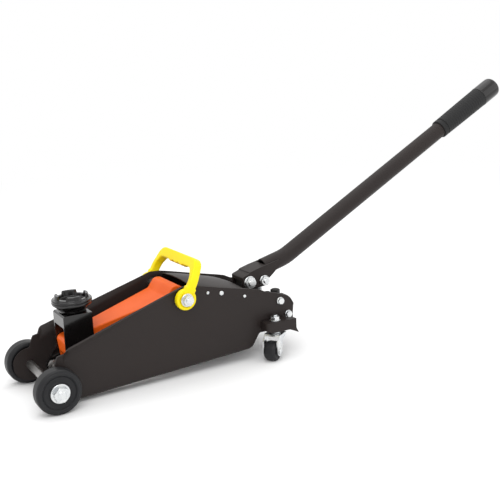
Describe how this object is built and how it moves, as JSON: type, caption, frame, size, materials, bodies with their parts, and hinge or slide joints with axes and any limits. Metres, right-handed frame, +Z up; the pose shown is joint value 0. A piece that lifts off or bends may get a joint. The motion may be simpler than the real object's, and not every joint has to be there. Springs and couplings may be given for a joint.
{
  "type": "hydraulic trolley jack",
  "caption": "Low hydraulic trolley jack with an orange lift arm, turning saddle, pump handle, yellow carry handle, wheels and swivel casters.",
  "frame": {"origin": "on the floor, below the middle of the outer box", "axes": "+X rearward along the chassis towards the end of the pump handle, +Y to the right side seen from behind, +Z up"},
  "size_m": [0.8968, 0.1806, 0.3939],
  "materials": {
    "frame_paint": "satin near-black paint with a brown cast",
    "arm_paint": "satin orange paint",
    "black_gloss": "gloss black paint",
    "zinc": "bright zinc plating",
    "steel": "bare turned steel",
    "cast": "rough casting, painted dark grey",
    "wheel": "blue-black moulded wheel, semi-gloss",
    "yellow": "moulded yellow plastic",
    "rubber": "matt black rubber",
    "bronze": "sintered bronze"
  },
  "bodies": {
    "frame": {"arm_shaft": "steel", "arm_shaft_nut_left": "zinc", "arm_shaft_nut_right": "zinc", "axle_nut_left": "zinc", "axle_nut_right": "zinc", "base_block": "cast", "block_bolt_left_front": "zinc", "block_bolt_left_rear": "zinc", "block_bolt_right_front": "zinc", "block_bolt_right_rear": "zinc", "caster_bracket_left": "frame_paint", "caster_bracket_right": "frame_paint", "caster_kingpin_left": "zinc", "caster_kingpin_right": "zinc", "cylinder": "cast", "filler_plug": "rubber", "front_axle": "steel", "handle_pivot_bolt": "zinc", "link_anchor_shaft": "steel", "pump_barrel": "zinc", "relief_valve_cap": "zinc", "return_spring_left": "zinc", "return_spring_right": "zinc", "side_plate_left": "frame_paint", "side_plate_right": "frame_paint", "top_cover": "frame_paint"},
    "lift_arm": {"lift_arm": "arm_paint", "arm_hub_lever": "cast", "lever_pin": "steel", "lever_roller_left": "steel", "lever_roller_right": "steel", "saddle_pin": "steel"},
    "saddle_bracket": {"saddle_bracket": "black_gloss", "link_pin": "zinc"},
    "saddle": {"saddle": "black_gloss", "saddle_clip": "zinc"},
    "levelling_links": {"link_bar_left": "steel", "link_bar_right": "steel"},
    "ram": {"push_head": "cast", "ram": "steel"},
    "pump_handle": {"handle_fork": "frame_paint", "handle_tube": "frame_paint", "handle_grip": "rubber", "grip_cap": "rubber", "pump_roller": "steel", "roller_bolt": "zinc"},
    "pump_plunger": {"pump_plunger": "steel", "plunger_spring": "zinc"},
    "release_valve": {"release_valve": "zinc"},
    "carry_handle": {"carry_handle": "yellow"},
    "front_wheel_left": {"front_wheel_left": "wheel", "wheel_bush_left": "bronze"},
    "front_wheel_right": {"front_wheel_right": "wheel", "wheel_bush_right": "bronze"},
    "caster_left": {"caster_fork_left": "zinc", "caster_axle_left": "zinc"},
    "caster_right": {"caster_fork_right": "zinc", "caster_axle_right": "zinc"},
    "caster_wheel_left": {"caster_wheel_left": "wheel"},
    "caster_wheel_right": {"caster_wheel_right": "wheel"}
  },
  "joints": [
    {"name": "lift_arm", "type": "hinge", "parent": "frame", "child": "lift_arm", "pos_m": [-0.22044, 0, 0.118], "axis": [0, 1, 0], "range_deg": [0, 61]},
    {"name": "saddle_level", "type": "hinge", "parent": "lift_arm", "child": "saddle_bracket", "pos_m": [-0.37544, 0, 0.058], "axis": [0, 1, 0], "range_deg": [-61, 0]},
    {"name": "saddle_spin", "type": "hinge", "parent": "saddle_bracket", "child": "saddle", "pos_m": [-0.36519, 0, 0.114], "axis": [0, 0, 1], "continuous": true},
    {"name": "levelling_links", "type": "hinge", "parent": "frame", "child": "levelling_links", "pos_m": [-0.24044, 0, 0.097], "axis": [0, 1, 0], "range_deg": [0, 61]},
    {"name": "ram_slide", "type": "slide", "parent": "frame", "child": "ram", "axis": [-1, 0, 0], "range_m": [0, 0.0343]},
    {"name": "pump_handle", "type": "hinge", "parent": "frame", "child": "pump_handle", "pos_m": [-0.08844, 0, 0.1103], "axis": [0, -1, 0], "range_deg": [0, 42]},
    {"name": "pump_plunger", "type": "slide", "parent": "frame", "child": "pump_plunger", "axis": [0, 0, 1], "range_m": [0, 0.0178], "deforming": ["plunger_spring"]},
    {"name": "release_valve", "type": "hinge", "parent": "frame", "child": "release_valve", "pos_m": [-0.03844, 0, 0.0615], "axis": [1, 0, 0], "range_deg": [0, 180]},
    {"name": "carry_handle", "type": "hinge", "parent": "frame", "child": "carry_handle", "pos_m": [-0.22044, 0, 0.118], "axis": [0, 1, 0], "range_deg": [-28, 20]},
    {"name": "front_wheel_left", "type": "hinge", "parent": "frame", "child": "front_wheel_left", "pos_m": [-0.41744, -0.0693, 0.031], "axis": [0, 1, 0], "continuous": true},
    {"name": "front_wheel_right", "type": "hinge", "parent": "frame", "child": "front_wheel_right", "pos_m": [-0.41744, 0.0693, 0.031], "axis": [0, 1, 0], "continuous": true},
    {"name": "caster_swivel_left", "type": "hinge", "parent": "frame", "child": "caster_left", "pos_m": [-0.07464, -0.065, 0.04], "axis": [0, 0, 1], "continuous": true},
    {"name": "caster_wheel_left", "type": "hinge", "parent": "caster_left", "child": "caster_wheel_left", "pos_m": [-0.08485, -0.0715, 0.015], "axis": [0.5373, -0.8434, 0], "continuous": true},
    {"name": "caster_swivel_right", "type": "hinge", "parent": "frame", "child": "caster_right", "pos_m": [-0.07464, 0.065, 0.04], "axis": [0, 0, 1], "continuous": true},
    {"name": "caster_wheel_right", "type": "hinge", "parent": "caster_right", "child": "caster_wheel_right", "pos_m": [-0.08485, 0.0715, 0.015], "axis": [-0.5373, -0.8434, 0], "continuous": true}
  ],
  "couplings": [
    {"joint": "saddle_level", "follows": "lift_arm", "ratio": -1},
    {"joint": "levelling_links", "follows": "lift_arm", "ratio": 1},
    {"joint": "ram_slide", "follows": "lift_arm", "m_per_rad": 0.0321},
    {"joint": "pump_plunger", "follows": "pump_handle", "m_per_rad": 0.0242}
  ]
}
